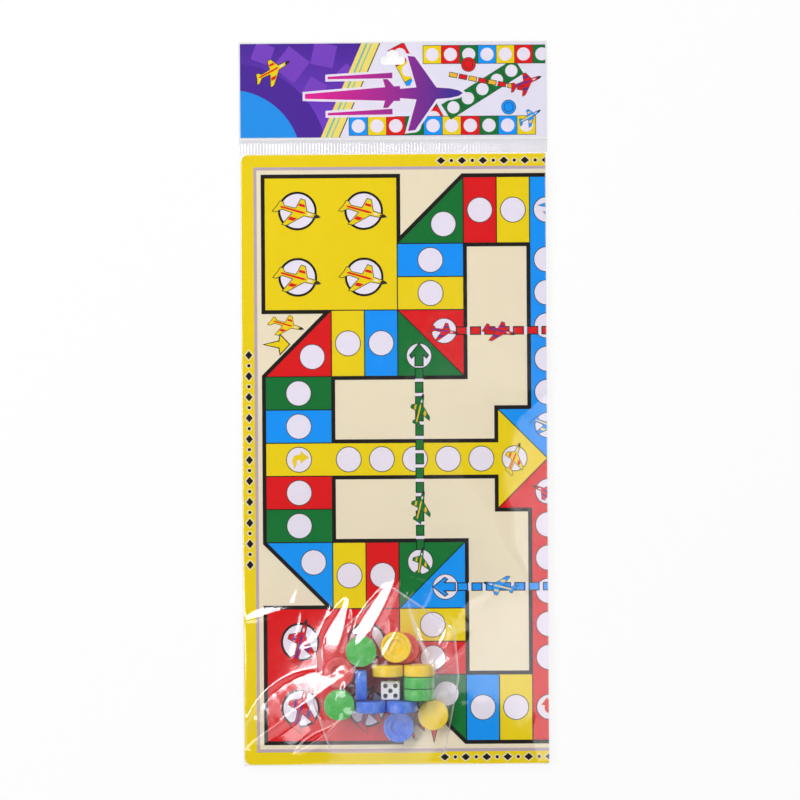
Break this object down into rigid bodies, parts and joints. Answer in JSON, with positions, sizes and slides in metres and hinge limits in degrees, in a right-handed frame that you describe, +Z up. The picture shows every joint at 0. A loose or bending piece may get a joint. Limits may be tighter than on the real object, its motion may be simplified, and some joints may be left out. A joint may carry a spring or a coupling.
{
  "type": "folding board game set in a header bag",
  "caption": "Folding square race-game board packed flat in a clear bag with a header card, with a pouch of counters and a die under the film.",
  "frame": {"origin": "centre of the outline, on the surface that the bag lies on", "axes": "+X from the free edge of the board to its fold, +Y to the header, +Z up through the films"},
  "size_m": [0.162, 0.3798, 0.0231],
  "materials": {
    "greyboard": "matte",
    "printed_paper": "satin",
    "hinge_tape": "matte",
    "header_card": "satin",
    "clear_film": "gloss",
    "white_plastic": "gloss",
    "red_plastic": "gloss",
    "yellow_plastic": "gloss",
    "green_plastic": "gloss",
    "blue_plastic": "gloss"
  },
  "bodies": {
    "front_leaf": {"front_core": "greyboard", "front_print": "printed_paper", "front_hinge_tape": "hinge_tape"},
    "rear_leaf": {"rear_core": "greyboard", "rear_print": "printed_paper", "rear_hinge_tape": "hinge_tape"},
    "bag_front": {"bag_front_film": "clear_film", "crimp_seal": "clear_film"},
    "bag_rear": {"bag_rear_film": "clear_film"},
    "header": {"header_card": "header_card", "header_front_film": "clear_film", "header_rear_film": "clear_film"},
    "pouch": {"pouch_front_film": "clear_film", "pouch_rear_film": "clear_film", "counter_red_1": "red_plastic", "counter_red_2": "red_plastic", "counter_red_3": "red_plastic", "counter_red_4": "red_plastic", "counter_yellow_1": "yellow_plastic", "counter_yellow_2": "yellow_plastic", "counter_yellow_3": "yellow_plastic", "counter_yellow_4": "yellow_plastic", "counter_green_1": "green_plastic", "counter_green_2": "green_plastic", "counter_green_3": "green_plastic", "counter_green_4": "green_plastic", "counter_blue_1": "blue_plastic", "counter_blue_2": "blue_plastic", "counter_blue_3": "blue_plastic", "counter_blue_4": "blue_plastic", "die": "white_plastic"}
  },
  "joints": [
    {"name": "board_fold", "type": "hinge", "parent": "front_leaf", "child": "rear_leaf", "pos_m": [0.08, 0, 0.00225], "axis": [0, -1, 0], "range_deg": [0, 180]},
    {"name": "bag_pull", "type": "slide", "parent": "front_leaf", "child": "bag_front", "axis": [-1, 0, 0], "range_m": [0, 0.17]},
    {"name": "bag_rear_pull", "type": "slide", "parent": "rear_leaf", "child": "bag_rear", "axis": [-1, 0, 0], "range_m": [0, 0.17]},
    {"name": "header_fold", "type": "hinge", "parent": "bag_front", "child": "header", "pos_m": [0, 0.13875, 0.00225], "axis": [1, 0, 0], "range_deg": [-90, 90]},
    {"name": "pouch_play", "type": "slide", "parent": "bag_front", "child": "pouch", "axis": [1, 0, 0], "range_m": [-0.005, 0.005]}
  ],
  "couplings": [
    {"joint": "bag_rear_pull", "follows": "bag_pull", "ratio": 1}
  ]
}
